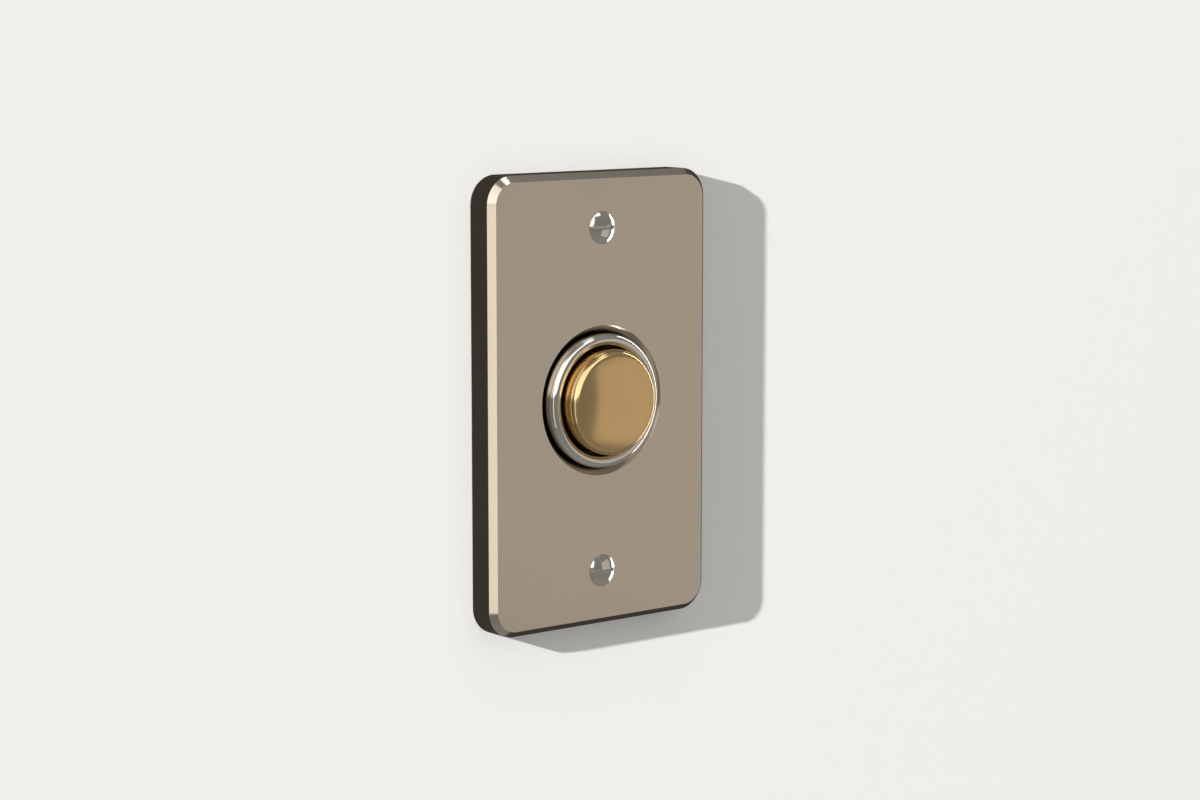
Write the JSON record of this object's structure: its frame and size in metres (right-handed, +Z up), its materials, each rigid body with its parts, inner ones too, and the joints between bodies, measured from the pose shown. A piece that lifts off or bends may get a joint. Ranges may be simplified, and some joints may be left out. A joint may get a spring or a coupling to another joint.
{
  "type": "doorbell push button",
  "caption": "Upright rectangular wall plate with rounded corners, a polished ring around a sprung brass push button in the middle, and slotted screws above and below it",
  "frame": {"origin": "middle of the plate's back face, on the wall", "axes": "+Z up, +X right as seen from the front, +Y into the wall; the front faces -Y"},
  "size_m": [0.0456, 0.0239, 0.0762],
  "materials": {
    "satin_nickel": "satin nickel plate on solid brass",
    "polished_nickel": "polished nickel plate",
    "polished_brass": "polished brass",
    "natural_nylon": "moulded nylon",
    "spring_steel": "drawn spring steel",
    "contact_bronze": "rolled bronze",
    "black_moulding": "moulded insulating compound",
    "terminal_brass": "plain machined brass",
    "zinc_steel": "zinc-plated steel"
  },
  "bodies": {
    "wall_unit": {"plate": "satin_nickel", "bezel_ring": "polished_nickel", "return_spring": "spring_steel", "switch_body": "black_moulding", "contact_stud_left": "terminal_brass", "contact_stud_right": "terminal_brass", "terminal_clamps": "terminal_brass", "terminal_screws": "terminal_brass", "body_screws": "zinc_steel", "mounting_screws": "polished_nickel"},
    "push": {"button_cap": "polished_brass", "plunger": "natural_nylon", "contact_disc": "contact_bronze", "lock_washer": "spring_steel"}
  },
  "joints": [
    {"name": "button_press", "type": "slide", "parent": "wall_unit", "child": "push", "axis": [0, 1, 0], "range_m": [0, 0.0018], "stiffness_N_per_m": 700, "springref_m": -0.002, "deforming": ["return_spring"]}
  ]
}
